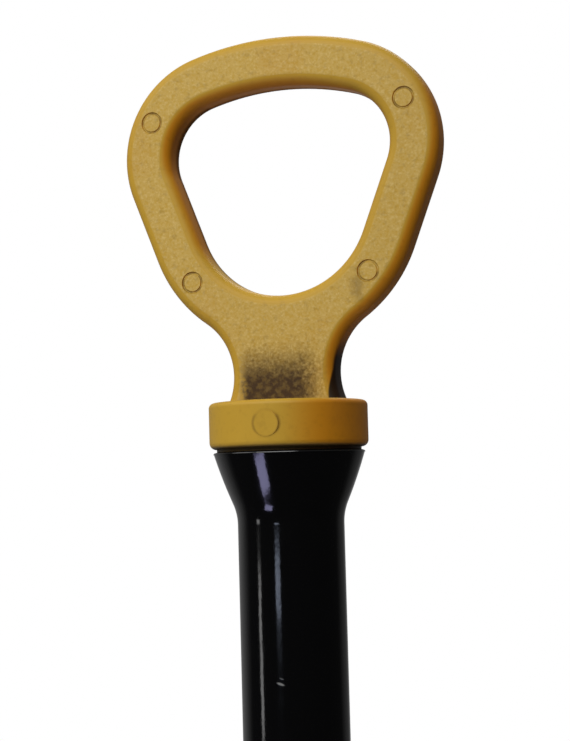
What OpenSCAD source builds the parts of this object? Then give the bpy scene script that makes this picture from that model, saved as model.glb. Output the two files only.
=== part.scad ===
// Engine oil dipstick, seated in its guide tube.
// +Z runs up the tube. The origin is on the tube's axis where the spigot enters the engine block.

/* [Finger ring] */
// Radius of the bar's centreline round the bottom of the ring
ring_low_r = 15.5; // [14:0.1:18]
// Lean of the ring's straight sides, outwards going up
ring_side_lean = 21; // [14:0.5:28]
// Length of each straight side
ring_side_len = 9.6; // [5:0.1:16]
// Radius of the bar's centreline round each shoulder
ring_shoulder_r = 10.6; // [8:0.1:14]
// Radius of the bar's centreline over the top of the ring
ring_top_r = 38.5; // [32:0.5:60]
// Width of the bar, seen from the front
bar_w = 6.65; // [5:0.05:8]
// Thickness of the bar and the neck, front to back
bar_t = 5; // [4:0.1:7]
// Radius on the bar's long edges
bar_edge_r = 1.5; // [0.6:0.05:1.8]
// Draft of the bar's sides, from the parting line to each face
bar_draft = 2; // [0:0.5:4]

/* [Neck] */
// Width of the neck at its waist
neck_w = 14.1; // [11:0.1:16]
// Radius of the hollow on each side of the neck
neck_hollow_r = 8.7; // [7:0.1:12]
// Height of the ring's lower centre above the collar
neck_rise = 26.2; // [24:0.1:30]

/* [Collar] */
// Height of the collar
collar_h = 6.1; // [4:0.1:10]
// How far the collar stands out past the tube's rim
collar_over = 0.45; // [0:0.05:2]
// Radius on the collar's upper edge
collar_top_edge_r = 0.7; // [0.2:0.05:1.5]
// Radius on the collar's lower edge
collar_low_edge_r = 0.9; // [0.2:0.05:1.5]
// How far the seat under the collar stands back from that edge
collar_seat_in = 0.05; // [0.02:0.01:0.4]

/* [Ejector pin marks] */
// Diameter of the marks on the ring
mark_d = 3; // [1.5:0.1:3.2]
// Depth of the marks on the ring
mark_depth = 0.1; // [0.05:0.01:0.3]
// Diameter of the mark on the collar
collar_mark_d = 3.5; // [2:0.1:3.8]
// How far the flat mark on the collar stands out
collar_mark_rise = 0.04; // [0.02:0.01:0.2]

/* [Plug] */
// Length of the plug below the collar
plug_len = 26; // [24:0.5:34]
// Gap round the plug in the tube's bore
plug_gap = 0.35; // [0.2:0.05:0.8]
// Gap round the plug's root in the tube's mouth
root_gap = 0.7; // [0.4:0.05:1.5]
// Length of the chamfer at the plug's lower end
plug_chamfer = 1; // [0.5:0.1:1.5]
// Diameter of the plug seals' cord
plug_seal_cord = 2; // [1.5:0.1:2.4]
// Width of a seal groove past the cord
groove_play = 0.4; // [0.1:0.05:0.8]
// Depth of the upper seal's centre below the collar
seal_depth = 13.5; // [12:0.1:16]
// Spacing of the two plug seals
seal_pitch = 5.4; // [4.4:0.1:7]

/* [Blade] */
// Width of the blade
blade_w = 5.5; // [4:0.1:6]
// Thickness of the blade
blade_t = 0.8; // [0.5:0.1:1.2]
// How far the blade hangs out of the tube's lower end
blade_reach = 84; // [60:1:160]
// Length of the blade moulded into the plug
blade_grip = 22; // [20:0.5:23]
// Diameter of the hole that the plug's nylon flows through
anchor_d = 2.6; // [1.5:0.1:3]
// Distance from the blade's upper end to that hole
anchor_inset = 4; // [3:0.1:6]
// Height of the low level hole above the blade's tip
level_low = 14; // [8:0.5:30]
// Distance between the two level holes
level_span = 22; // [12:0.5:30]
// Diameter of the level holes
level_d = 2.2; // [1.2:0.1:2.6]
// Radius of the notches beside each level hole
notch_r = 0.7; // [0.3:0.05:0.8]

/* [Guide tube] */
// Outer diameter of the tube
tube_d = 14; // [12:0.1:18]
// Wall of the tube
tube_wall = 1; // [0.8:0.05:1.4]
// Height of the rim above the engine block
tube_rise = 214; // [150:1:320]
// Length of the spigot in the engine block
spigot_len = 26; // [15:0.5:40]
// Chamfer at the spigot's end
spigot_chamfer = 1; // [0.5:0.1:1.5]
// Radius at the foot of the flared mouth
flare_foot_r = 7; // [5:0.1:12]
// Radius of the flare's bulging side
flare_belly_r = 62; // [40:1:80]
// Slope of the flare above its foot
flare_foot_slope = 23.3; // [21:0.1:27]
// Slope of the flare at the rim
flare_rim_slope = 16.7; // [14:0.1:18]
// Radius on the rim's edges
rim_edge_r = 0.3; // [0.1:0.05:0.35]

/* [Bead and tube seal] */
// How far the bead stands out of the tube
bead_out = 1.8; // [1:0.1:2.5]
// Length of the bead along the tube
bead_len = 5; // [4:0.1:8]
// Diameter of the tube seal's cord
tube_seal_cord = 2; // [1.5:0.1:3]
// Depth of the rolled seat that holds the tube seal
seat_depth = 0.4; // [0.2:0.05:0.5]

/* [Bracket] */
// Height of the bracket's middle above the engine block
bracket_z = 96; // [40:1:130]
// Height of the bracket
bracket_h = 18; // [14:0.5:24]
// Thickness of the bracket's sheet
bracket_t = 2.5; // [1.5:0.1:3.5]
// Distance from the tube's axis to the bolt hole
bolt_reach = 22; // [18:0.5:40]
// Diameter of the bolt hole
bolt_hole_d = 6.6; // [5:0.1:9]
// How far the tab's back stands behind the saddle
tab_joggle = 0.6; // [0.3:0.1:1.5]
// Part of a turn that the saddle covers on each side of its middle
saddle_angle = 75; // [50:1:85]

/* [Fits] */
// Gap between the collar and the rim, nearly closed by the collar's seat
seat_gap = 0.4; // [0.2:0.05:0.6]
// What is left of that gap under the seat
seat_run = 0.05; // [0.05:0.01:0.15]
// Gap between a plug seal and the tube's bore
seal_run = 0.05; // [0.03:0.01:0.1]
// Gap between two pieces that are moulded, stretched or brazed together
close_fit = 0.02; // [0.01:0.01:0.05]

/* [Hidden] */
$fn = 96;
// Length by which a cutter runs past the face that it opens
cut = 1;
// Where two swept lengths of the bar meet, one is this much wider and runs this far into the other
join_step = 0.01;
join_len = 0.25;
// Facets along one rounded edge, and along each curve of a turned profile
edge_steps = 5;
curve_steps = 8;
bead_steps = 12;

nylon = [0.72, 0.55, 0.20];
rubber = [0.10, 0.10, 0.10];
spring_steel = [0.62, 0.62, 0.60];
black_paint = [0.05, 0.05, 0.06];

// Guide tube: the flare is a foot arc that turns outwards, then a long arc that bulges
tube_r = tube_d / 2;
bore_r = tube_r - tube_wall;
flare_h = flare_foot_r * sin(flare_foot_slope)
    + flare_belly_r * (sin(flare_foot_slope) - sin(flare_rim_slope));
rim_r = tube_r + flare_foot_r * (1 - cos(flare_foot_slope))
    + flare_belly_r * (cos(flare_rim_slope) - cos(flare_foot_slope));
flare_z = tube_rise - flare_h;
mouth_r = rim_r - tube_wall * cos(flare_rim_slope);

// Dipstick: the collar stands just clear of the rim
collar_z = tube_rise + seat_gap;
collar_r = rim_r + collar_over;
collar_seat_r = collar_r - collar_low_edge_r - collar_seat_in;
collar_seat_z = tube_rise + seat_run;
collar_top_z = collar_z + collar_h;
ring_z = collar_top_z + neck_rise;
plug_r = bore_r - plug_gap;
seal_zs = [collar_z - seal_depth, collar_z - seal_depth - seal_pitch];
plug_seal_r = bore_r - seal_run - plug_seal_cord / 2;
groove_r = plug_seal_r - plug_seal_cord / 2 - close_fit;
groove_w = plug_seal_cord + groove_play;

// Finger ring: arcs and straights that run into each other, worked out for the right half
side_dir = [sin(ring_side_lean), cos(ring_side_lean)];
side_out = [cos(ring_side_lean), -sin(ring_side_lean)];
side_low = ring_low_r * side_out;
shoulder = side_low + ring_side_len * side_dir - ring_shoulder_r * side_out;
shoulder_end = acos(shoulder[0] / (ring_top_r - ring_shoulder_r));
top_z = shoulder[1] - (ring_top_r - ring_shoulder_r) * sin(shoulder_end);

// Neck: each side is hollowed by an arc that runs into the ring's outer edge
hollow_x = neck_w / 2 + neck_hollow_r;
hollow_reach = ring_low_r + bar_w / 2 + neck_hollow_r - join_step;
hollow_z = -sqrt(hollow_reach ^ 2 - hollow_x ^ 2);

// Ejector pin marks on the ring's face: two on the shoulders, two above the neck
low_mark_angle = 39;
shoulder_mark_angle = 27.5;
// How far they lie outside the bar's centreline
mark_shift = 0.2;
low_mark = (ring_low_r + mark_shift) * [cos(low_mark_angle), -sin(low_mark_angle)];
shoulder_mark = shoulder
    + (ring_shoulder_r + mark_shift) * [cos(shoulder_mark_angle), sin(shoulder_mark_angle)];

// How far round from the front, in degrees, the collar's mark lies
collar_mark_turn = 3;

// Blade
blade_top_z = collar_z - plug_len + blade_grip;
blade_tip_z = -spigot_len - blade_reach;
anchor_z = blade_top_z - anchor_inset;
level_zs = [blade_tip_z + level_low, blade_tip_z + level_low + level_span];

// Bead and tube seal: the seal lies in its seat, close under the bead
seal_seat_r = tube_r - seat_depth;
seat_w = tube_seal_cord + 2 * close_fit;
bead_z = seat_depth + seat_w;
tube_seal_r = seal_seat_r + close_fit + tube_seal_cord / 2;

// Bracket
saddle_r = tube_r + close_fit;
tab_back_y = saddle_r + bracket_t + tab_joggle;

function reverse(points) = [for (i = [len(points) - 1:-1:0]) points[i]];

// Points of an arc about a centre, from one angle to another
function arc(centre, r, from, to, steps) =
    [for (i = [0:steps]) let (a = from + (to - from) * i / steps) centre + r * [cos(a), sin(a)]];

// The moulded bar's rounded edge: how far each point lies inside the edge, and its place front to back
edge_flat = bar_t / 2 - bar_edge_r;
edge_draft = edge_flat * tan(bar_draft);
rear_edge = arc([bar_edge_r + edge_draft, edge_flat], bar_edge_r, 180, 90, edge_steps);
front_edge = [for (p = reverse(rear_edge)) [p[0], -p[1]]];
bar_edge = concat(front_edge, [[0, 0]], rear_edge);

module bar_section(w) {
    polygon(concat(
        [for (p = bar_edge) [w / 2 - p[0], p[1]]],
        [for (p = reverse(bar_edge)) [p[0] - w / 2, p[1]]]));
}

// Turns a shape drawn in X and Z so that its thickness runs front to back
module stand() {
    rotate([90, 0, 0]) children();
}

module bar_arc(centre, r, from, to, w = bar_w) {
    translate([centre[0], 0, centre[1]]) stand()
        rotate_extrude(angle = to - from, start = from)
            translate([r, 0]) bar_section(w);
}

module bar_side() {
    translate([side_low[0], 0, side_low[1]])
        rotate([0, ring_side_lean, 0]) translate([0, 0, -join_len])
            linear_extrude(ring_side_len + 2 * join_len) bar_section(bar_w + 2 * join_step);
}

// A disc whose rim is the bar's rounded edge turned inside out
module edge_cutter(centre, r) {
    translate([centre[0], 0, centre[1]]) stand()
        rotate_extrude() polygon(concat(
            [[0, -bar_t], [r + bar_edge[0][0], -bar_t]],
            [for (p = bar_edge) [r + p[0], p[1]]],
            [[r + bar_edge[0][0], bar_t], [0, bar_t]]));
}

// The neck, from inside the ring's bar down into the collar
module neck() {
    difference() {
        stand() linear_extrude(bar_t, center = true) polygon([
            [0, 0], [hollow_x, hollow_z], [hollow_x, -neck_rise - cut],
            [-hollow_x, -neck_rise - cut], [-hollow_x, hollow_z]]);
        stand() cylinder(r = ring_low_r, h = bar_t + cut, center = true);
        for (side = [-1, 1]) edge_cutter([side * hollow_x, hollow_z], neck_hollow_r);
    }
}

module finger_ring() {
    top_lap = join_len / ring_top_r * 180 / PI;
    bar_arc([0, 0], ring_low_r, 180 + ring_side_lean, 360 - ring_side_lean);
    for (side = [0, 1]) mirror([side, 0, 0]) {
        bar_side();
        bar_arc(shoulder, ring_shoulder_r, -ring_side_lean, shoulder_end);
    }
    bar_arc([0, top_z], ring_top_r, shoulder_end - top_lap, 180 - shoulder_end + top_lap,
        bar_w + 2 * join_step);
}

module ring_marks() {
    for (side = [-1, 1], p = [low_mark, shoulder_mark])
        translate([side * p[0], -bar_t / 2 + mark_depth, p[1]]) stand()
            cylinder(d = mark_d, h = mark_depth + cut);
}

// Collar and plug, turned about the tube's axis
module collar_and_plug() {
    groove_edges = [for (z = seal_zs) each [
        [plug_r, z + groove_w / 2], [groove_r, z + groove_w / 2],
        [groove_r, z - groove_w / 2], [plug_r, z - groove_w / 2]]];
    plug_end_z = collar_z - plug_len;
    rotate_extrude() polygon(concat(
        [[0, collar_top_z]],
        arc([collar_r - collar_top_edge_r, collar_top_z - collar_top_edge_r],
            collar_top_edge_r, 90, 0, edge_steps),
        arc([collar_r - collar_low_edge_r, collar_z + collar_low_edge_r],
            collar_low_edge_r, 0, -90, edge_steps),
        [[collar_seat_r, collar_z], [collar_seat_r, collar_seat_z],
         [mouth_r - root_gap, collar_seat_z], [plug_r, flare_z]],
        groove_edges,
        [[plug_r, plug_end_z + plug_chamfer], [plug_r - plug_chamfer, plug_end_z], [0, plug_end_z]]));
}

module blade_pocket() {
    w = blade_w + 2 * close_fit;
    t = blade_t + 2 * close_fit;
    translate([-w / 2, -t / 2, collar_z - plug_len - cut])
        cube([w, t, blade_grip + close_fit + cut]);
}

module handle() {
    color(nylon) {
        difference() {
            union() {
                translate([0, 0, ring_z]) {
                    neck();
                    finger_ring();
                }
                collar_and_plug();
                translate([0, 0, collar_z + collar_h / 2]) rotate([0, 0, collar_mark_turn]) stand()
                    cylinder(d = collar_mark_d, h = collar_r + collar_mark_rise);
            }
            translate([0, 0, ring_z]) ring_marks();
            blade_pocket();
        }
        // Nylon that fills the blade's anchor hole
        translate([0, 0, anchor_z]) stand()
            cylinder(d = anchor_d - 2 * close_fit, h = blade_t + 4 * close_fit, center = true);
    }
}

module o_ring(r, cord) {
    rotate_extrude() translate([r, 0]) circle(d = cord, $fn = 32);
}

module plug_seal(z) {
    color(rubber) translate([0, 0, z]) o_ring(plug_seal_r, plug_seal_cord);
}

module plug_seal_upper() {
    plug_seal(seal_zs[0]);
}

module plug_seal_lower() {
    plug_seal(seal_zs[1]);
}

module blade() {
    tip_r = blade_w / 2;
    color(spring_steel) difference() {
        stand() linear_extrude(blade_t, center = true) difference() {
            union() {
                translate([-tip_r, blade_tip_z + tip_r])
                    square([blade_w, blade_top_z - blade_tip_z - tip_r]);
                translate([0, blade_tip_z + tip_r]) circle(r = tip_r);
            }
            for (side = [-1, 1], z = level_zs) translate([side * tip_r, z]) circle(r = notch_r);
        }
        for (z = level_zs) translate([0, 0, z]) stand()
            cylinder(d = level_d, h = blade_t + cut, center = true);
        translate([0, 0, anchor_z]) stand()
            cylinder(d = anchor_d, h = blade_t + cut, center = true);
    }
}

// Outer side of the flare from its foot to the rim, moved inwards by an offset for the inner side
function flare_side(inset) = concat(
    [for (i = [0:curve_steps]) let (a = flare_foot_slope * i / curve_steps)
        [tube_r + flare_foot_r, flare_z] + (flare_foot_r + inset) * [-cos(a), sin(a)]],
    [for (i = [1:curve_steps]) let (
        a = flare_foot_slope + (flare_rim_slope - flare_foot_slope) * i / curve_steps,
        foot = [tube_r + flare_foot_r, flare_z],
        centre = foot + (flare_foot_r + flare_belly_r) * [-cos(flare_foot_slope), sin(flare_foot_slope)])
        centre + (flare_belly_r - inset) * [cos(a), -sin(a)]]);

function bead_side(r) = [for (i = [0:bead_steps]) let (t = i / bead_steps)
    [r + bead_out * (1 - cos(360 * t)) / 2, bead_z + bead_len * t]];

module guide_tube() {
    outer = flare_side(0);
    inner = flare_side(tube_wall);
    rim_inner_r = inner[len(inner) - 1][0];
    color(black_paint) rotate_extrude() polygon(concat(
        [[bore_r, -spigot_len], [tube_r - spigot_chamfer * tan(30), -spigot_len],
         [tube_r, -spigot_len + spigot_chamfer], [tube_r, 0],
         [seal_seat_r, seat_depth], [seal_seat_r, bead_z - seat_depth / 2]],
        bead_side(tube_r),
        [for (p = outer) if (p[1] < tube_rise - rim_edge_r) p],
        arc([rim_r - rim_edge_r, tube_rise - rim_edge_r], rim_edge_r, 0, 90, edge_steps),
        arc([rim_inner_r + rim_edge_r, tube_rise - rim_edge_r], rim_edge_r, 90, 180, edge_steps),
        [for (p = reverse(inner)) if (p[1] < tube_rise - 2 * rim_edge_r) p],
        reverse(bead_side(bore_r))));
}

module tube_bracket() {
    saddle_outer_r = saddle_r + bracket_t;
    tab_r = bracket_h / 2;
    color(black_paint) translate([0, 0, bracket_z]) difference() {
        union() {
            translate([0, 0, -bracket_h / 2])
                rotate_extrude(angle = 2 * saddle_angle, start = 90 - saddle_angle)
                    translate([saddle_r, 0]) square([bracket_t, bracket_h]);
            intersection() {
                translate([saddle_r / 2, tab_back_y - bracket_t, -bracket_h / 2])
                    cube([bolt_reach + tab_r - saddle_r / 2, bracket_t, bracket_h]);
                union() {
                    translate([0, 0, -bracket_h / 2]) cube([bolt_reach, tab_back_y + cut, bracket_h]);
                    translate([bolt_reach, 0, 0]) rotate([-90, 0, 0])
                        cylinder(r = tab_r, h = tab_back_y + cut);
                }
            }
        }
        translate([bolt_reach, 0, 0]) rotate([-90, 0, 0])
            cylinder(d = bolt_hole_d, h = tab_back_y + cut);
    }
}

module tube_seal() {
    color(rubber) translate([0, 0, seat_depth + seat_w / 2]) o_ring(tube_seal_r, tube_seal_cord);
}

handle();
plug_seal_upper();
plug_seal_lower();
blade();
guide_tube();
tube_bracket();
tube_seal();
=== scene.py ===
import math

import bmesh
import bpy
from mathutils import Matrix, Vector


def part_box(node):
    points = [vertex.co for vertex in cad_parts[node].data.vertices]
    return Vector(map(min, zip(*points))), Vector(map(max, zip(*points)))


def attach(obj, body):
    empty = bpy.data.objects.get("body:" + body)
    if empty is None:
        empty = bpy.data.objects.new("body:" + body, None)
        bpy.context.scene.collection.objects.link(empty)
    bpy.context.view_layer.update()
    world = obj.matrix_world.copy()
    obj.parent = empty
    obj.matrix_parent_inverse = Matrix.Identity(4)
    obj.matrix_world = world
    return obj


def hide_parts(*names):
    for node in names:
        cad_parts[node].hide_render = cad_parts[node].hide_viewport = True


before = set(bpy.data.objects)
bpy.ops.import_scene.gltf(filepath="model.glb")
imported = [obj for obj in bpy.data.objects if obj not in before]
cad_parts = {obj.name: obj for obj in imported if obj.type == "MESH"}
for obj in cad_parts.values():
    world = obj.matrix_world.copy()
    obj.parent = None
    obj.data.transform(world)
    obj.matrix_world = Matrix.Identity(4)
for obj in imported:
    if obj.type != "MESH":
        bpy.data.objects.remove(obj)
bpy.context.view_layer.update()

mm = 0.001
weld = {"turned": 0.0005, "mirrored": 0.001, "copied": 0.002, "cut": 0.0005}    # mm between points made one
scene = bpy.context.scene
scene.view_settings.view_transform = "Standard"

# Heights that the pieces share, in millimetres, read from the frame
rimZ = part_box("guide_tube")[1].z / mm           # the tube's rim
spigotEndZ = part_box("guide_tube")[0].z / mm
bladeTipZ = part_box("blade")[0].z / mm

# The camera, fitted to the ring and the tube in the picture
camera = {
    "azimuth": 19.16,              # degrees to the right of the object's front
    "lookUp": 3.85,                # degrees that it looks upwards
    "roll": 1.51,                  # degrees that the object leans to the left
    "distance": 224.9,             # mm along the view to the middle of the ring's lower bend
    "focalPixels": 1693.5,
    "imagePixels": (570, 741),
    "ringPixel": (282.8, 204.9),   # where that middle lands
    "sensorWidth": 36.0,
    "clipStart": 0.01,             # metres
}


def direction(azimuth, elevation):
    a, e = math.radians(azimuth), math.radians(elevation)
    return Vector((math.sin(a) * math.cos(e), -math.cos(a) * math.cos(e), math.sin(e)))


def makeCamera(ringCentre):
    forward = -direction(camera["azimuth"], -camera["lookUp"])
    level = forward.cross(Vector((0, 0, 1))).normalized()
    upright = level.cross(forward)
    roll = math.radians(camera["roll"])
    right = math.cos(roll) * level - math.sin(roll) * upright
    up = math.sin(roll) * level + math.cos(roll) * upright
    width, height = camera["imagePixels"]
    x, y = camera["ringPixel"]
    pixel = camera["distance"] / camera["focalPixels"]
    place = ringCentre - camera["distance"] * forward
    place += (y - height / 2) * pixel * up - (x - width / 2) * pixel * right
    data = bpy.data.cameras.new("camera")
    data.sensor_fit = "HORIZONTAL"
    data.sensor_width = camera["sensorWidth"]
    data.lens = camera["focalPixels"] * camera["sensorWidth"] / width
    data.clip_start = camera["clipStart"]
    made = bpy.data.objects.new("camera", data)
    made.matrix_world = Matrix.Translation(place * mm) @ Matrix((right, up, -forward)).transposed().to_4x4()
    scene.collection.objects.link(made)
    scene.camera = made


# The handle: collar and plug are turned, the ring and neck are one flat moulding above them
collar = {
    "seatGap": 0.4,                # stands this far above the rim
    "seatRadius": 9.51,            # of the low seat that nearly fills that gap
    "seatRun": 0.05,               # gap between the seat and the rim
    "height": 6.1,
    "radius": 10.46,
    "topEdge": 0.7,
    "lowEdge": 0.9,
    "rootRadius": 8.35,            # where the plug leaves the collar
    "rootLength": 9.87,
    "plugRadius": 5.65,
    "plugLength": 26.0,
    "plugChamfer": 1.0,
    "sealDepths": (13.5, 18.9),    # of the seals' middles, below the collar
    "grooveWidth": 2.4,
    "grooveRadius": 3.93,
    "bossRadius": 1.66,            # flat ejector mark on the collar's front
    "bossRise": 0.04,
    "bossTurn": 3.0,               # degrees round from the front
    "bossSteps": 48,
    "bladeGap": 0.02,              # between the blade and the slot in the plug
    "slotOverrun": 1.0,            # how far the slot's cutter passes the plug's end
    "edgeStep": 8.0,               # degrees from one point of a rounded edge to the next
    "turnSteps": 144,
}
ring = {
    "rise": 26.2,                  # of the lower bend's middle above the collar
    "lowRadius": 15.5,             # radii are of the bar's middle line
    "sideLean": 21.0,
    "sideLength": 9.6,
    "shoulderRadius": 10.6,
    "topRadius": 38.5,
    "barWidth": 6.65,
    "thickness": 5.0,
    "edgeRadius": 1.5,
    "edgeSteps": 10,
    "edgeSpare": 0.06,             # face kept beyond the rounded edge, so that the bevel has room
    "roundedFrom": 1.0,            # radians that an edge turns by where it gets rounded
    "draft": 2.0,
    "neckWidth": 14.1,
    "hollowRadius": 8.7,
    "sunk": 2.5,                   # how far the neck runs down into the collar
    "markRadius": 1.5,
    "markShift": 0.2,              # the marks lie this far outside the bar's middle line
    "lowMarkAngle": 39.0,
    "shoulderMarkAngle": 27.5,
    "markGroove": 0.24,            # width of the groove that rings each mark
    "markGrooveDepth": 0.13,
    "markDepth": 0.05,
    "markSteps": 36,
    "bendStep": 2.5,               # degrees from one point of an arc to the next
    "topStep": 1.5,
}
collarZ = rimZ + collar["seatGap"]
collarTopZ = collarZ + collar["height"]
ringZ = collarTopZ + ring["rise"]
makeCamera(Vector((0, 0, ringZ)))
print("camera placed")


# Shader maths on sockets, written as expressions
class Value:
    def __init__(self, nodes, socket):
        self.nodes, self.socket = nodes, socket

    def maths(self, operation, other=0.0):
        return self.nodes.make("ShaderNodeMath", {"operation": operation}, {0: self, 1: other})

    def __add__(self, other):
        return self.maths("ADD", other)

    def __sub__(self, other):
        return self.maths("SUBTRACT", other)

    def __rsub__(self, other):
        return self.nodes.make("ShaderNodeMath", {"operation": "SUBTRACT"}, {0: other, 1: self})

    def __mul__(self, other):
        return self.maths("MULTIPLY", other)


class Nodes:
    def __init__(self, tree):
        self.tree = tree
        tree.nodes.clear()

    def make(self, kind, settings=(), sockets=(), output=0):
        node = self.tree.nodes.new(kind)
        for name, value in dict(settings).items():
            setattr(node, name, value)
        for name, value in dict(sockets).items():
            if isinstance(value, Value):
                self.tree.links.new(value.socket, node.inputs[name])
            else:
                node.inputs[name].default_value = value
        return Value(self, node.outputs[output]) if len(node.outputs) else node

    def between(self, value, low, high):       # 0 below low, 1 above high, smooth in between
        return self.make("ShaderNodeMapRange", {"interpolation_type": "SMOOTHSTEP"},
                         {"Value": value, "From Min": low, "From Max": high})

    def mix(self, share, first, second):
        return self.make("ShaderNodeMix", {"data_type": "RGBA"}, {0: share, 6: first, 7: second}, 2)

    def noise(self, vector, scale, detail):
        return self.make("ShaderNodeTexNoise", (), {"Vector": vector, "Scale": scale, "Detail": detail})

    def split(self, vector):
        return [self.make("ShaderNodeSeparateXYZ", (), {0: vector}, axis) for axis in range(3)]

    def stretch(self, vector, scale):
        return self.make("ShaderNodeMapping", (), {"Vector": vector, "Scale": scale})

    def length(self, vector):
        return self.make("ShaderNodeVectorMath", {"operation": "LENGTH"}, {0: vector}, 1)

    def away(self, x, y):                      # distance from the point where x and y are 0
        return self.length(self.make("ShaderNodeCombineXYZ", (), {0: x, 1: y}))


class Paint(Nodes):
    def __init__(self, name):
        self.material = bpy.data.materials.new(name)
        self.material.use_nodes = True
        super().__init__(self.material.node_tree)
        self.place = self.make("ShaderNodeTexCoord", output=3)

    def bump(self, height, distance, strength):
        return self.make("ShaderNodeBump", (), {"Height": height, "Distance": distance, "Strength": strength})

    def finish(self, **sockets):
        named = {name.replace("_", " "): value for name, value in sockets.items()}
        surface = self.make("ShaderNodeBsdfPrincipled", (), named)
        self.make("ShaderNodeOutputMaterial", (), {"Surface": surface})
        return self.material


def rgb(red, green, blue):
    return (*[((c / 255 + 0.055) / 1.055) ** 2.4 for c in (red, green, blue)], 1.0)


def faceOutwards(bm):
    bmesh.ops.recalc_face_normals(bm, faces=bm.faces)
    if bm.calc_volume(signed=True) < 0:
        bmesh.ops.reverse_faces(bm, faces=bm.faces)
    bm.normal_update()


# Outlines are drawn in the XZ plane, seen from the front
class Pen:
    def __init__(self, bm, x, z):
        self.bm = bm
        self.last = bm.verts.new((x, 0, z))

    def line(self, x, z):
        vert = self.bm.verts.new((x, 0, z))
        self.bm.edges.new((self.last, vert))
        self.last = vert

    def arc(self, x, z, degrees, step):         # turns about a centre, anticlockwise when positive
        made = bmesh.ops.spin(self.bm, geom=[self.last], cent=(x, 0, z), axis=(0, -1, 0),
                              angle=math.radians(degrees), steps=max(3, round(abs(degrees) / step)))
        self.last = next(g for g in made["geom_last"] if isinstance(g, bmesh.types.BMVert))

    def lathe(self, steps):                     # turns the outline about the Z axis
        bmesh.ops.spin(self.bm, geom=self.bm.verts[:] + self.bm.edges[:], cent=(0, 0, 0), axis=(0, 0, 1),
                       angle=math.tau, steps=steps, use_merge=True)
        bmesh.ops.remove_doubles(self.bm, verts=self.bm.verts, dist=weld["turned"])
        faceOutwards(self.bm)


def looseObject(bm):
    mesh = bpy.data.meshes.new("loose")
    for slot in range(2):                       # empty slots keep the faces' material numbers
        mesh.materials.append(None)
    bm.to_mesh(mesh)
    bm.free()
    made = bpy.data.objects.new("loose", mesh)
    scene.collection.objects.link(made)
    return made


def combine(bm, tools):                         # each tool is an operation and a shape
    base = looseObject(bm)
    cutters = []
    for operation, tool in tools:
        modifier = base.modifiers.new("combine", "BOOLEAN")
        modifier.operation, modifier.solver = operation, "EXACT"
        modifier.object = looseObject(tool)
        cutters.append(modifier.object)
    result = bmesh.new()
    result.from_mesh(base.evaluated_get(bpy.context.evaluated_depsgraph_get()).to_mesh())
    for used in [base, *cutters]:
        bpy.data.objects.remove(used)
    return result


def nodeCopy(name, flatWithin=0.6):             # a CAD node's mesh in millimetres, its triangles merged
    bm = bmesh.new()
    bm.from_mesh(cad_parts[name].data)
    bmesh.ops.scale(bm, vec=(1 / mm,) * 3, verts=bm.verts)
    bmesh.ops.remove_doubles(bm, verts=bm.verts, dist=weld["copied"])
    bmesh.ops.dissolve_limit(bm, angle_limit=math.radians(flatWithin), verts=bm.verts, edges=bm.edges)
    return bm


def roundEdges(bm, radius, segments, sharperThan=40.0):
    sharp = [e for e in bm.edges if e.is_manifold and e.calc_face_angle() > math.radians(sharperThan)]
    bmesh.ops.bevel(bm, geom=sharp, offset=radius, offset_type="OFFSET", segments=segments, profile=0.5,
                    affect="EDGES", material=-1, clamp_overlap=True)


def makePiece(name, bm, body, replaced, materials, sharpAngle=32.0):
    for face in bm.faces:
        face.smooth = True
    bmesh.ops.scale(bm, vec=(mm,) * 3, verts=bm.verts)
    mesh = bpy.data.meshes.new(name)
    for material in materials:
        mesh.materials.append(material)
    bm.to_mesh(mesh)
    bm.free()
    mesh.set_sharp_from_angle(angle=math.radians(sharpAngle))
    piece = bpy.data.objects.new(name, mesh)
    scene.collection.objects.link(piece)
    piece.modifiers.new("even shading", "WEIGHTED_NORMAL").keep_sharp = True
    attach(piece, body)
    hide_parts(replaced)
    print(name, "made,", len(mesh.polygons), "faces")


nylon = {
    "face": rgb(190, 157, 78),      # the flat faces, hazed by handling
    "rounded": rgb(183, 144, 44),   # rounded edges and the collar
    "shaded": rgb(188, 122, 16),    # the same in painted shade, where they turn to the right or down
    "wall": rgb(172, 108, 28),      # painted shade on the bar's walls and the collar's right side, and a random tint
    "pale": rgb(210, 182, 112),
    "grimeAndShade": rgb(56, 36, 18),
    "darkShadeAndGrime": rgb(16, 9, 5),
    "speckleScale": 3400.0,         # scales of the patterns, from the finest to the widest
    "patchScale": 1300.0,
    "grainScale": 1190.0,
    "mottleScale": 800.0,
    "cloudScale": 110.0,
    "grainHeight": 0.00006,         # metres
    "faceRoughness": 0.62,
    "edgeRoughness": 0.48,
    "specular": 0.22,
    "holeMiddle": 3.0,              # mm from the middle of the lower bend up to the hole's middle
    "rearShade": 0.65,               # how much painted shade darkens the rear half of the hole's wall
    "grimeTop": 8.6,                # mm above the collar where the grime on the neck starts
    "grimeFull": 2.5,               # and where it is thickest
    "grimeLeft": (-6.2, -4.5),      # mm from the neck's middle where it starts and is thickest
    "grimeRight": (6.8, 2.0),
    "flankDarkTop": 9.5,
    "flankDarkFull": 5.0,
    "smudgePlace": (10.7, -11.9),   # mm from the lower bend's middle, beside the low mark
    "smudgeSize": (1.2, 2.5),
}


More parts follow.
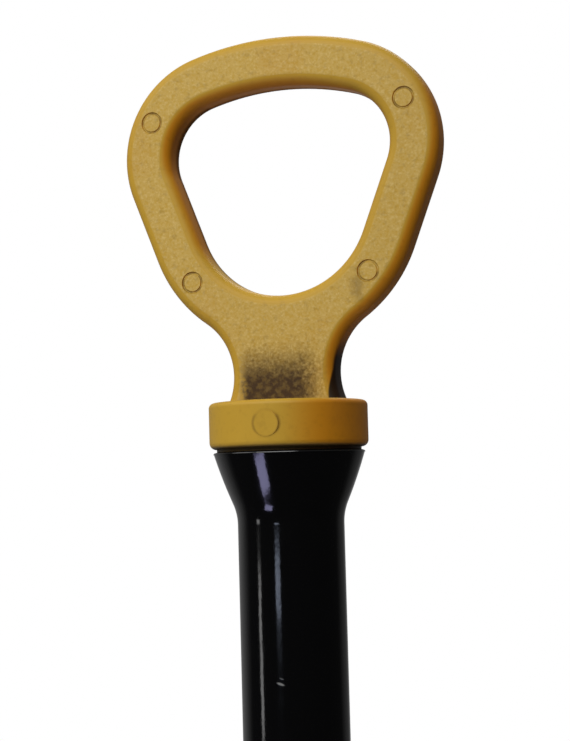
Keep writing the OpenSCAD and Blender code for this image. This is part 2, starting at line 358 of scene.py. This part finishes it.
class NylonPaint(Paint):                        # the places and patterns that its coats share
    def __init__(self, name):
        super().__init__(name)
        place = self.split(self.place)
        self.facing = self.split(self.make("ShaderNodeTexCoord", output=1))
        self.across = place[0] * (1 / mm)                   # mm to the right of the middle
        self.rise = place[2] * (1 / mm) - collarTopZ        # mm above the collar
        self.lift = self.rise + collar["height"]            # mm above the collar's lower edge
        self.above = self.between(self.rise, 0.05, 0.2)
        self.clean = self.between(self.lift, -0.5, -1.4)    # the plug, kept free of the collar's painted shade
        self.front = self.between(self.facing[1], -0.55, -0.95) * self.above
        self.frontal = self.facing[1].maths("ABSOLUTE")
        self.flat = self.between(self.frontal, 0.977, 0.9998) * self.above
        self.speckle = self.noise(self.place, nylon["speckleScale"], 2.0)
        self.grain = self.noise(self.place, nylon["grainScale"], 3.0)
        self.mottle = self.noise(self.place, nylon["mottleScale"], 5.0)
        patches = self.noise(self.place, nylon["patchScale"], 5.0)
        self.ragged = (patches - 0.5) * 2.4 + (self.speckle - 0.5) * 2.6    # mm that the edges of grime and of the flank's painted shade wander


def plainNylon(paint):
    facing, above, flat = paint.facing, paint.above, paint.flat
    cloud = paint.noise(paint.place, nylon["cloudScale"], 4.0)
    steep = paint.between(paint.frontal, 0.72, 0.1) * above
    # painted shade on the collar's right side, which faces away from the light
    shadedSide = paint.between(facing[0] + (cloud - 0.5) * 0.9, 0.55, 1.05) * (1 - above) * (1 - paint.clean)
    # painted shade: rounded edges turn more orange where they face right or down
    shaded = paint.between(facing[0] - facing[2] * above * 0.8, 0.15, 0.75)
    base = paint.mix(shaded, nylon["rounded"], nylon["shaded"])
    # painted shade on the walls of the bar that don't face up
    base = paint.mix(steep * paint.between(facing[2], 0.7, 0.0) * 0.8, base, nylon["wall"])
    base = paint.mix(shadedSide * 0.55, base, nylon["wall"])
    base = paint.mix(flat, base, nylon["face"])
    base = paint.mix(paint.between(paint.speckle, 0.52, 0.74) * flat * 0.5, base, nylon["pale"])
    base = paint.mix(paint.between(paint.speckle, 0.52, 0.30) * flat * 0.65, base, nylon["rounded"])
    base = paint.mix(paint.between(paint.grain, 0.48, 0.28) * (flat * 0.1 + 0.08), base, nylon["grimeAndShade"])
    base = paint.mix(paint.between(cloud, 0.50, 0.72) * 0.12, base, nylon["wall"])
    # painted shade: darker towards the right
    return paint.mix(paint.between(paint.across, 0, 24) * 0.09 * above, base, nylon["grimeAndShade"])


def rearOfHole(paint):                          # 1 on the rear half of the hole's wall, which gets painted shade
    facing = paint.facing
    outwards = paint.across * facing[0] + (paint.rise - ring["rise"] - nylon["holeMiddle"]) * facing[2]
    rear = paint.between(facing[1], -0.01, 0.04) * paint.between(facing[1], 0.75, 0.35)
    return rear * paint.between(outwards, -3, -6) * paint.above


def neckGrime(paint, base):                     # oily, thinning upwards and to the right
    height = paint.between(paint.rise + paint.ragged, nylon["grimeTop"], nylon["grimeFull"])
    left = paint.between(paint.across + paint.ragged * 0.5, *nylon["grimeLeft"])
    right = paint.between(paint.across + paint.ragged, *nylon["grimeRight"])
    thin = paint.between(paint.grain, 0.30, 0.60) * 0.2 + 0.8
    return paint.mix(height * (left * right) * paint.front * thin * 0.97, base, nylon["grimeAndShade"])


def lowSmudge(paint, base):                     # faint, beside the low mark
    smudgeX, smudgeZ = nylon["smudgePlace"]
    wide, tall = nylon["smudgeSize"]
    away = paint.away((paint.across - smudgeX) * (1 / wide),
                      (paint.rise - ring["rise"] - smudgeZ) * (1 / tall))
    smudge = paint.between(away + (paint.mottle - 0.5) * 1.6, 1.1, 0.2) * paint.front
    return paint.mix(smudge * 0.34, base, nylon["grimeAndShade"])


def flankShadeAndGrime(paint, base):                     # painted shade and grime on the neck's right, creeping round the edge at its foot
    creep = paint.between(paint.rise, 4.5, -1.0) * 0.8
    flank = paint.between(paint.facing[0] + creep, 0.80, 0.97)
    height = paint.between(paint.rise + paint.ragged * 0.4, nylon["flankDarkTop"], nylon["flankDarkFull"])
    return paint.mix(flank * height * paint.above * 0.97, base, nylon["darkShadeAndGrime"])


def collarShadeAndRing(paint, base):                    # painted shade under its lower edge, and a dark ring round the flat mark on its front
    # painted shade under the collar's lower edge and in the gap above the rim
    under = paint.between(paint.lift, 0.55, 0.1) * (1 - paint.clean)
    base = paint.mix(under * 0.9, base, nylon["darkShadeAndGrime"])
    # a dark ring round the flat mark, stronger at its sides
    bossX = collar["radius"] * math.sin(math.radians(collar["bossTurn"]))
    level = paint.rise + collar["height"] / 2
    away = paint.away(paint.across - bossX, level)
    halo = paint.between(away, collar["bossRadius"] - 0.25, collar["bossRadius"])
    halo = halo * paint.between(away, collar["bossRadius"] + 0.38, collar["bossRadius"] + 0.1)
    halo = halo * paint.between(paint.facing[1], -0.6, -0.8) * (1 - paint.above)
    halo = halo * (paint.between(level.maths("ABSOLUTE"), 1.5, 0.6) * 0.3 + 0.08)
    return paint.mix(halo, base, nylon["grimeAndShade"])


def makeNylon(name, darkerMottle):
    paint = NylonPaint(name)
    rear = rearOfHole(paint)
    # painted shade on the rear half of the hole's wall
    base = paint.mix(rear * nylon["rearShade"], plainNylon(paint), nylon["darkShadeAndGrime"])
    for coat in (neckGrime, lowSmudge, flankShadeAndGrime, collarShadeAndRing):
        base = coat(paint, base)
    if darkerMottle:
        # darker and mottled in the grooves round the marks
        base = paint.mix(paint.between(paint.mottle, 0.36, 0.58) * 0.42 + 0.08, base, nylon["grimeAndShade"])
    roughness = paint.flat * (nylon["faceRoughness"] - nylon["edgeRoughness"]) + nylon["edgeRoughness"]
    roughness = roughness + rear * 0.4 + (paint.grain - 0.5) * 0.1
    texture = paint.speckle * (paint.flat * 0.8 + 0.2)
    return paint.finish(Base_Color=base, Roughness=roughness, IOR=1.5, Specular_IOR_Level=nylon["specular"],
                        Normal=paint.bump(texture, nylon["grainHeight"], 0.6))


def drawMoulding():                             # ring and neck, standing on the collar
    lean = math.radians(ring["sideLean"])
    along = Vector((math.sin(lean), math.cos(lean)))
    outwards = Vector((math.cos(lean), -math.sin(lean)))
    half = ring["barWidth"] / 2
    shoulder = (ring["lowRadius"] - ring["shoulderRadius"]) * outwards + ring["sideLength"] * along
    apart = ring["topRadius"] - ring["shoulderRadius"]
    shoulderEnd = math.degrees(math.acos(shoulder.x / apart))
    topZ = shoulder.y - apart * math.sin(math.radians(shoulderEnd))
    hollow = Vector((ring["neckWidth"] / 2 + ring["hollowRadius"], 0))
    hollow.y = -math.sqrt((ring["lowRadius"] + half + ring["hollowRadius"]) ** 2 - hollow.x ** 2)
    footTurn = math.degrees(math.asin((hollow.y + ring["rise"]) / ring["hollowRadius"]))
    tangent = math.degrees(math.atan2(-hollow.y, -hollow.x))
    footX = hollow.x - ring["hollowRadius"] * math.cos(math.radians(footTurn))
    bottomZ = -ring["rise"] - ring["sunk"]

    bm = bmesh.new()
    for side, start in ((1, None), (-1, -90.0)):
        low = ring["lowRadius"] + side * half
        if start is None:                       # outer edge, from the neck's foot
            pen = Pen(bm, 0, bottomZ)
            pen.line(footX, bottomZ)
            pen.line(footX, -ring["rise"])
            pen.arc(*hollow, tangent - 180 - footTurn, ring["bendStep"])
            start = tangent - 180
        else:                                   # inner edge
            pen = Pen(bm, 0, -low)
        pen.arc(0, 0, -ring["sideLean"] - start, ring["bendStep"])
        pen.line(*(low * outwards + ring["sideLength"] * along))
        pen.arc(*shoulder, ring["sideLean"] + shoulderEnd, ring["bendStep"])
        pen.arc(0, topZ, 90 - shoulderEnd, ring["topStep"])
    bmesh.ops.mirror(bm, geom=bm.verts[:] + bm.edges[:], merge_dist=weld["mirrored"], axis="X")

    marks = []
    for centre, radius, angle in (((0, 0), ring["lowRadius"], -ring["lowMarkAngle"]),
                                  (shoulder, ring["shoulderRadius"], ring["shoulderMarkAngle"])):
        a, reach = math.radians(angle), radius + ring["markShift"]
        for side in (-1, 1):
            spot = (side * (centre[0] + reach * math.cos(a)), 0, centre[1] + reach * math.sin(a))
            turn = Matrix.Translation(spot) @ Matrix.Rotation(math.pi / 2, 4, "X")
            made = bmesh.ops.create_circle(bm, radius=ring["markRadius"], segments=ring["markSteps"],
                                           matrix=turn)
            marks.append(made["verts"])
    bmesh.ops.triangle_fill(bm, use_beauty=True, edges=bm.edges[:], normal=(0, -1, 0))
    for verts in marks:
        rim = [e for e in bm.edges if e.verts[0] in verts and e.verts[1] in verts]
        bmesh.ops.contextual_create(bm, geom=rim)
    bmesh.ops.recalc_face_normals(bm, faces=bm.faces)
    if bm.faces[0].normal.y > 0:
        bmesh.ops.reverse_faces(bm, faces=bm.faces)
    return bm


def raiseMoulding(bm):                          # gives the outline its drafted walls, round edges and marks
    depth = ring["thickness"] / 2
    draft = (depth - ring["edgeRadius"]) * math.tan(math.radians(ring["draft"]))
    front = bm.faces[:]
    bmesh.ops.inset_region(bm, faces=front, thickness=draft, use_boundary=True, use_even_offset=True)
    bmesh.ops.translate(bm, vec=(0, -depth, 0), verts=list({v for f in front for v in f.verts}))
    bmesh.ops.inset_region(bm, faces=front, thickness=ring["edgeRadius"] + ring["edgeSpare"],
                           use_boundary=True, use_even_offset=True)
    bm.normal_update()
    rim = [e for e in bm.edges if e.is_manifold and e.calc_face_angle() > ring["roundedFrom"]
           and all(abs(v.co.y + depth) < weld["mirrored"] for v in e.verts)]
    bmesh.ops.bevel(bm, geom=rim, offset=ring["edgeRadius"], offset_type="OFFSET", segments=ring["edgeSteps"],
                    profile=0.5, affect="EDGES", material=-1, clamp_overlap=False)
    bmesh.ops.mirror(bm, geom=bm.verts[:] + bm.edges[:] + bm.faces[:], merge_dist=weld["mirrored"], axis="Y")
    faceOutwards(bm)
    for mark in [f for f in bm.faces if len(f.verts) == ring["markSteps"] and f.normal.y < -0.9]:
        for deep in (ring["markGrooveDepth"], 0, ring["markDepth"] - ring["markGrooveDepth"]):
            walls = bmesh.ops.inset_region(bm, faces=[mark], thickness=ring["markGroove"] / 2,
                                           use_boundary=True, use_even_offset=True)["faces"]
            bmesh.ops.translate(bm, vec=(0, deep, 0), verts=mark.verts)
            for wall in walls:
                wall.material_index = 1
    bmesh.ops.translate(bm, vec=(0, 0, ringZ), verts=bm.verts)
    return bm


def turnCollar():
    bm = bmesh.new()
    radius, top, low = collar["radius"], collar["topEdge"], collar["lowEdge"]
    plug, groove = collar["plugRadius"], collar["grooveRadius"]
    endZ = collarZ - collar["plugLength"]
    pen = Pen(bm, 0, collarTopZ)
    pen.line(radius - top, collarTopZ)
    pen.arc(radius - top, collarTopZ - top, -90, collar["edgeStep"])
    pen.line(radius, collarZ + low)
    pen.arc(radius - low, collarZ + low, -90, collar["edgeStep"])
    pen.line(collar["seatRadius"], collarZ)
    pen.line(collar["seatRadius"], rimZ + collar["seatRun"])
    pen.line(collar["rootRadius"], rimZ + collar["seatRun"])
    pen.line(plug, collarZ - collar["rootLength"])
    for depth in collar["sealDepths"]:
        highZ = collarZ - depth + collar["grooveWidth"] / 2
        pen.line(plug, highZ)
        pen.line(groove, highZ)
        pen.line(groove, highZ - collar["grooveWidth"])
        pen.line(plug, highZ - collar["grooveWidth"])
    pen.line(plug, endZ + collar["plugChamfer"])
    pen.line(plug - collar["plugChamfer"], endZ)
    pen.line(0, endZ)
    pen.lathe(collar["turnSteps"])
    return bm


def boxTool(low, high):
    bm = bmesh.new()
    bmesh.ops.create_cube(bm, size=1)
    bmesh.ops.scale(bm, vec=[h - l for l, h in zip(low, high)], verts=bm.verts)
    bmesh.ops.translate(bm, vec=[(h + l) / 2 for l, h in zip(low, high)], verts=bm.verts)
    return bm


def bossTool():                                 # a disc that faces the front, a little turned
    bm = bmesh.new()
    reach = collar["radius"] + collar["bossRise"]
    place = (Matrix.Rotation(math.radians(collar["bossTurn"]), 4, "Z")
             @ Matrix.Translation((0, -reach / 2, collarZ + collar["height"] / 2))
             @ Matrix.Rotation(math.pi / 2, 4, "X"))
    bmesh.ops.create_cone(bm, cap_ends=True, segments=collar["bossSteps"], radius1=collar["bossRadius"],
                          radius2=collar["bossRadius"], depth=reach, matrix=place)
    return bm


def makeHandle():
    bladeLow, bladeHigh = (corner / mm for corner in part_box("blade"))
    slack = Vector((1, 1, 1)) * collar["bladeGap"]
    slotLow, slotHigh = bladeLow - slack, bladeHigh + slack
    slotLow.z = collarZ - collar["plugLength"] - collar["slotOverrun"]
    shape = combine(raiseMoulding(drawMoulding()), [
        ("UNION", turnCollar()),
        ("UNION", bossTool()),
        ("DIFFERENCE", boxTool(slotLow, slotHigh))])
    makePiece("handleMoulding", shape, "dipstick", "handle",
              [makeNylon("nylon", False), makeNylon("nylonGroove", True)])


# Guide tube: a lathed wall with a swaged bead and a flared mouth
tube = {
    "radius": 7.0,
    "wall": 1.0,
    "spigotChamfer": 1.0,
    "chamferAngle": 30.0,          # degrees from the tube's axis
    "footRadius": 7.0,             # at the foot of the flare
    "bellyRadius": 62.0,           # of the flare's bulging side
    "footSlope": 23.3,
    "rimSlope": 16.7,
    "rimEdge": 0.3,
    "beadOut": 1.8,
    "beadLength": 5.0,
    "seatDepth": 0.4,
    "seatWidth": 2.04,
    "beadSteps": 20,
    "footStep": 2.0,               # degrees from one point of an arc to the next
    "bellyStep": 0.7,
    "rimStep": 10.0,
    "turnSteps": 144,
}


def makeTube(material):
    radius, bore = tube["radius"], tube["radius"] - tube["wall"]
    footSlope, rimSlope, edge = tube["footSlope"], tube["rimSlope"], tube["rimEdge"]
    foot, belly = tube["footRadius"], tube["bellyRadius"]
    sineFoot, cosFoot = math.sin(math.radians(footSlope)), math.cos(math.radians(footSlope))
    sineRim, cosRim = math.sin(math.radians(rimSlope)), math.cos(math.radians(rimSlope))
    flareZ = rimZ - foot * sineFoot - belly * (sineFoot - sineRim)
    rimR = radius + foot * (1 - cosFoot) + belly * (cosRim - cosFoot)
    innerR = rimR - tube["wall"] * cosRim
    bellyX, bellyZ = radius + foot - (foot + belly) * cosFoot, flareZ + (foot + belly) * sineFoot
    beadZ = tube["seatDepth"] + tube["seatWidth"]
    steps = tube["beadSteps"]
    bead = [(tube["beadOut"] * (1 - math.cos(math.tau * i / steps)) / 2,
             beadZ + tube["beadLength"] * i / steps) for i in range(steps + 1)]
    shortTurn = math.degrees(edge / belly)      # stops the belly short of the rim's rounded edges

    bm = bmesh.new()
    pen = Pen(bm, bore, spigotEndZ)
    first = pen.last
    pen.line(radius - tube["spigotChamfer"] * math.tan(math.radians(tube["chamferAngle"])), spigotEndZ)
    pen.line(radius, spigotEndZ + tube["spigotChamfer"])
    pen.line(radius, 0)
    pen.line(radius - tube["seatDepth"], tube["seatDepth"])
    pen.line(radius - tube["seatDepth"], beadZ - tube["seatDepth"] / 2)
    for out, z in bead:
        pen.line(radius + out, z)
    pen.line(radius, flareZ)
    pen.arc(radius + foot, flareZ, -footSlope, tube["footStep"])
    pen.arc(bellyX, bellyZ, footSlope - rimSlope - shortTurn, tube["bellyStep"])
    pen.line(rimR, rimZ - edge)
    pen.arc(rimR - edge, rimZ - edge, 90, tube["rimStep"])
    pen.line(innerR + edge, rimZ)
    pen.arc(innerR + edge, rimZ - edge, 90, tube["rimStep"])
    low, innerBelly = math.radians(rimSlope + 2 * shortTurn), belly - tube["wall"]
    pen.line(bellyX + innerBelly * math.cos(low), bellyZ - innerBelly * math.sin(low))
    pen.arc(bellyX, bellyZ, rimSlope + 2 * shortTurn - footSlope, tube["bellyStep"])
    pen.arc(radius + foot, flareZ, footSlope, tube["footStep"])
    for out, z in reversed(bead):
        pen.line(bore + out, z)
    bm.edges.new((pen.last, first))
    pen.lathe(tube["turnSteps"])
    makePiece("guideTubePainted", bm, "tube", "guide_tube", [material])


blackPaint = {
    "colour": rgb(3, 3, 4),
    "paleMark": rgb(128, 128, 124),
    "dust": rgb(60, 58, 54),
    "dustScale": 3200.0,
    "waveScale": 700.0,
    "waveStretch": (1, 1, 0.35),
    "rippleScale": 3400.0,
    "rippleStretch": (1, 1, 0.6),
    "roughness": 0.085,
    "waviness": 0.00002,           # height of the paint's unevenness, in metres
    "paleMarkHeight": 29.5,            # mm from the rim down to a small pale mark on the paint
    "paleMarkAngle": 3.6,              # degrees round from the front
    "paleMarkWidth": 0.54,             # half its width and half its height, in mm
    "paleMarkTall": 0.18,
}


def makeBlackPaint():
    paint = Paint("blackPaint")
    x, y, z = paint.split(paint.place)
    wavePlace = paint.stretch(paint.place, blackPaint["waveStretch"])
    ripplePlace = paint.stretch(paint.place, blackPaint["rippleStretch"])
    ripples = paint.noise(ripplePlace, blackPaint["rippleScale"], 1.0)
    waves = paint.noise(wavePlace, blackPaint["waveScale"], 3.0) + ripples * 0.3 - 0.15
    dust = paint.noise(paint.place, blackPaint["dustScale"], 2.0)
    base = paint.mix(paint.between(dust, 0.72, 0.88) * 0.2, blackPaint["colour"], blackPaint["dust"])

    # The chip is a slanting stroke with a shorter, fainter one above it
    side = math.radians(blackPaint["paleMarkAngle"])
    across = x * (math.cos(side) / mm) + y * (math.sin(side) / mm)
    height = z * (1 / mm) - (rimZ - blackPaint["paleMarkHeight"])

    def stroke(aside, lift, grow):
        away = paint.away((across - aside) * (1 / (blackPaint["paleMarkWidth"] * grow)),
                          (height - lift + across * 0.3) * (1 / (blackPaint["paleMarkTall"] * grow)))
        return paint.between(away, 1.15, 0.5)
    # The small pale mark is a slanting stroke with a shorter, fainter one above it

    paleMark = stroke(0, 0, 1.0) * 0.8 + stroke(0.14, 0.72, 0.6) * 0.25
    paleMark = paleMark * paint.between(y * (1 / mm), -5.0, -6.0)
    base = paint.mix(paleMark, base, blackPaint["paleMark"])
    roughness = paint.between(waves, 0.35, 0.9) * 0.05 + paleMark * 0.3 + blackPaint["roughness"]
    return paint.finish(Base_Color=base, Roughness=roughness, IOR=1.5,
                        Normal=paint.bump(waves - paleMark * 0.8, blackPaint["waviness"], 0.6))


sealRubber = {
    "colour": rgb(20, 20, 20),
    "bloom": rgb(46, 45, 43),
    "bloomScale": 500.0,
    "grainScale": 3500.0,
    "grainHeight": 0.00003,        # metres
}


def makeRubber():
    paint = Paint("rubber")
    bloom = paint.noise(paint.place, sealRubber["bloomScale"], 4.0)
    grain = paint.noise(paint.place, sealRubber["grainScale"], 2.0)
    base = paint.mix(paint.between(bloom, 0.4, 0.75) * 0.5, sealRubber["colour"], sealRubber["bloom"])
    return paint.finish(Base_Color=base, Roughness=bloom * 0.2 + 0.4,
                        Normal=paint.bump(grain, sealRubber["grainHeight"], 0.4))


springSteel = {
    "dark": rgb(150, 150, 148),
    "bright": rgb(196, 196, 193),
    "stain": rgb(120, 105, 84),
    "stainScale": 220.0,
    "streakStretch": (9000, 9000, 60),
    "streakHeight": 0.000006,      # metres
}


def makeSteel():
    paint = Paint("springSteel")
    streaks = paint.noise(paint.stretch(paint.place, springSteel["streakStretch"]), 1.0, 4.0)
    stain = paint.noise(paint.place, springSteel["stainScale"], 4.0)
    base = paint.mix(streaks, springSteel["dark"], springSteel["bright"])
    base = paint.mix(paint.between(stain, 0.5, 0.8) * 0.35, base, springSteel["stain"])
    return paint.finish(Base_Color=base, Metallic=1.0, Roughness=streaks * 0.18 + 0.24,
                        Normal=paint.bump(streaks, springSteel["streakHeight"], 0.6))


seals = {
    "rubberCord": 2.0,
    "plugRadius": 4.95,
    "tubeRadius": 7.62,
    "cordSteps": 28,
    "turnSteps": 96,
}


def makeSeal(name, node, body, radius, z, material):
    bm = bmesh.new()
    place = Matrix.Translation((radius, 0, z)) @ Matrix.Rotation(math.pi / 2, 4, "X")
    bmesh.ops.create_circle(bm, radius=seals["rubberCord"] / 2, segments=seals["cordSteps"], matrix=place)
    bmesh.ops.spin(bm, geom=bm.verts[:] + bm.edges[:], cent=(0, 0, 0), axis=(0, 0, 1), angle=math.tau,
                   steps=seals["turnSteps"], use_merge=True)
    faceOutwards(bm)
    makePiece(name, bm, body, node, [material])


# Blade: the strip with its level holes, and a hatched band between them
blade = {
    "edgeRadius": 0.08,
    "edgeSteps": 2,
    "bandLow": 16.6,               # mm above the tip
    "bandHigh": 33.4,
    "hatchPitch": 1.5,
    "hatchLine": 0.16,             # width of a raised line between the sunk diamonds
    "hatchDepth": 0.05,
    "largestFace": 100.0,          # square mm, which leaves out the strip's own long faces
    "leastDiamond": 0.12,          # smaller cuttings at the band's edges stay flat
    "bandMargin": 0.01,
    "flatFrom": 0.999,             # cosine to the front or back of a face that counts as flat
    "sharpAngle": 25.0,
}


def makeBlade(material):
    bm = nodeCopy("blade")
    roundEdges(bm, blade["edgeRadius"], blade["edgeSteps"])
    lowZ, highZ = bladeTipZ + blade["bandLow"], bladeTipZ + blade["bandHigh"]

    def flatFaces():
        bm.normal_update()
        return [f for f in bm.faces if abs(f.normal.y) > blade["flatFrom"]]

    def cut(faces, point, normal):
        geometry = list({g for f in faces for g in (f, *f.edges, *f.verts)})
        bmesh.ops.bisect_plane(bm, geom=geometry, plane_co=point, plane_no=normal, dist=weld["cut"])

    def band():
        low, high = lowZ - blade["bandMargin"], highZ + blade["bandMargin"]
        return [f for f in flatFaces() if low < f.calc_center_median().z < high
                and f.calc_area() < blade["largestFace"]]

    for z in (lowZ, highZ):
        cut(flatFaces(), (0, 0, z), (0, 0, 1))
    rows = int((highZ - lowZ) / blade["hatchPitch"])
    for slant in (-1, 1):
        for i in range(-3, rows + 4):
            cut(band(), (0, 0, lowZ + (i + 0.5) * blade["hatchPitch"]), (slant, 0, 1))
    diamonds = [f for f in band() if f.calc_area() > blade["leastDiamond"]]
    bmesh.ops.inset_individual(bm, faces=diamonds, thickness=blade["hatchLine"] / 2,
                               depth=-blade["hatchDepth"], use_even_offset=True)
    makePiece("bladeStrip", bm, "dipstick", "blade", [material], blade["sharpAngle"])


bracket = {
    "edgeRadius": 0.4,
    "edgeSteps": 3,
}


def makeBracket(material):
    bm = nodeCopy("tube_bracket")
    roundEdges(bm, bracket["edgeRadius"], bracket["edgeSteps"])
    makePiece("bracketPressing", bm, "tube", "tube_bracket", [material])


# Studio: a soft lamp overhead in front, narrow strips that draw the streaks on the paint, a white backdrop
studio = {
    "floorGap": 2.0,               # mm from the blade's tip down to the floor
    "floorRadius": 0.30,           # metres
    "floorSteps": 96,
    "floorColour": rgb(236, 236, 234),
    "floorFade": 0.35,             # share of the radius where it starts to fade out
    "ambient": 0.03,
    "softAmbient": 0.045,          # more light that only matt surfaces take up
    "softBelow": 0.25,
    "belowDirection": direction(-50, -45),
    "sky": 0.2,
    "window": 0.24,                # light from the left and behind
    "windowDirection": direction(-140, 0),
    "windowEdge": (0.55, 0.95),    # cosines between which the light grows
    "rearWindow": 0.09,
    "rearDirection": direction(165, 0),
    "rearEdge": (0.8, 1.0),
    "backdropDirection": direction(-161, 0),
    "backdropEdge": (0.975, 0.995),
    "floorGlow": 0.5,              # how far the floor is lifted towards the backdrop's white
}


def makeWorld():
    world = bpy.data.worlds.new("studio")
    world.use_nodes = True
    scene.world = world
    nodes = Nodes(world.node_tree)
    cameraRay, glossyRay, transmissionRay = (
        nodes.make("ShaderNodeLightPath", output=name)
        for name in ("Is Camera Ray", "Is Glossy Ray", "Is Transmission Ray"))
    ray = nodes.make("ShaderNodeTexCoord", output=0)
    side, rear, below, behind = (
        nodes.make("ShaderNodeVectorMath", {"operation": "DOT_PRODUCT"}, {0: ray, 1: studio[name]}, 1)
        for name in ("windowDirection", "rearDirection", "belowDirection", "backdropDirection"))
    height = nodes.split(ray)[2]
    backdrop = nodes.between(behind, *studio["backdropEdge"])
    white = cameraRay + (glossyRay + transmissionRay) * backdrop
    window = nodes.between(side, *studio["windowEdge"]) * studio["window"]
    room = window + nodes.between(rear, *studio["rearEdge"]) * studio["rearWindow"]
    room = room + nodes.between(height, 0.1, 0.9) * studio["sky"] + studio["ambient"]
    soft = nodes.between(below, 0.0, 1.0) * studio["softBelow"] + studio["softAmbient"]
    room = room + (1 - glossyRay) * soft
    strength = white.maths("MINIMUM", 1.0) + (1 - white).maths("MAXIMUM", 0.0) * room
    background = nodes.make("ShaderNodeBackground", (), {"Color": (1, 1, 1, 1), "Strength": strength})
    nodes.make("ShaderNodeOutputWorld", (), {"Surface": background})


# Lamps look at a height on the tube's axis, and their distances and sizes are in metres
lamps = {
    "overhead": {"azimuth": -5, "elevation": 42, "distance": 0.8, "size": (0.8, 0.45), "radiance": 5.3,
                 "colour": (1, 1, 1), "targetZ": ringZ},
    "leftFill": {"azimuth": -65, "elevation": 35, "distance": 0.8, "size": (0.5, 0.4), "radiance": 2.2,
                 "colour": (1, 1, 1), "targetZ": ringZ},
    "behind": {"azimuth": 178, "elevation": 52, "distance": 0.9, "size": (0.6, 0.4), "radiance": 4.0,
               "colour": (1, 1, 1), "targetZ": ringZ},
    "lilacStrip": {"azimuth": -32, "elevation": -34.4, "distance": 0.7, "size": (0.18, 0.125),
                   "radiance": 5.5, "colour": rgb(205, 202, 255), "targetZ": rimZ - 5},
    "paleStrip": {"azimuth": -12.5, "elevation": -3.3, "distance": 0.7, "size": (0.12, 0.028),
                  "radiance": 4.8, "colour": rgb(215, 228, 255), "targetZ": rimZ - 16},
    "sideStrip": {"azimuth": -56, "elevation": -5.7, "distance": 0.7, "size": (0.08, 0.09),
                  "radiance": 3.0, "colour": (1, 1, 1), "targetZ": rimZ - 25},
}


def addLamp(name, azimuth, elevation, distance, size, radiance, colour, targetZ):
    target = Vector((0, 0, targetZ * mm))
    data = bpy.data.lights.new(name, "AREA")
    data.shape = "RECTANGLE"
    data.size, data.size_y = size
    data.energy = radiance * math.pi * size[0] * size[1]
    data.color = colour[:3]
    made = bpy.data.objects.new(name, data)
    away = direction(azimuth, elevation)
    made.location = target + away * distance
    made.rotation_euler = away.to_track_quat("Z", "Y").to_euler()
    scene.collection.objects.link(made)


def makeFloor():
    bm = bmesh.new()
    bmesh.ops.create_circle(bm, cap_ends=True, radius=studio["floorRadius"], segments=studio["floorSteps"],
                            matrix=Matrix.Translation((0, 0, (bladeTipZ - studio["floorGap"]) * mm)))
    mesh = bpy.data.meshes.new("floor")
    bm.to_mesh(mesh)
    bm.free()
    floor = bpy.data.objects.new("floor", mesh)
    paint = Paint("floorPaint")
    pale = paint.make("ShaderNodeBsdfDiffuse", (), {"Color": studio["floorColour"]})
    clear = paint.make("ShaderNodeBsdfTransparent")
    away = paint.length(paint.stretch(paint.place, (1, 1, 0)))
    fade = paint.between(away, studio["floorRadius"] * studio["floorFade"], studio["floorRadius"])
    glow = paint.make("ShaderNodeEmission", (), {"Color": (1, 1, 1, 1), "Strength": 1.0})
    cameraRay = paint.make("ShaderNodeLightPath", output="Is Camera Ray")
    pale = paint.make("ShaderNodeMixShader", (), {0: cameraRay * studio["floorGlow"], 1: pale, 2: glow})
    faded = paint.make("ShaderNodeMixShader", (), {0: fade, 1: pale, 2: clear})
    paint.make("ShaderNodeOutputMaterial", (), {"Surface": faded})
    mesh.materials.append(paint.material)
    scene.collection.objects.link(floor)


makeWorld()
makeFloor()
for name, lamp in lamps.items():
    addLamp(name, **lamp)
print("studio made")

paintBlack = makeBlackPaint()
rubber = makeRubber()
makeHandle()
makeTube(paintBlack)
makeBracket(paintBlack)
makeBlade(makeSteel())
for name, node, depth in (("plugSealUpper", "plug_seal_upper", collar["sealDepths"][0]),
                          ("plugSealLower", "plug_seal_lower", collar["sealDepths"][1])):
    makeSeal(name, node, "dipstick", seals["plugRadius"], collarZ - depth, rubber)
tubeSealZ = tube["seatDepth"] + tube["seatWidth"] / 2
makeSeal("tubeSeal", "tube_seal", "tube", seals["tubeRadius"], tubeSealZ, rubber)
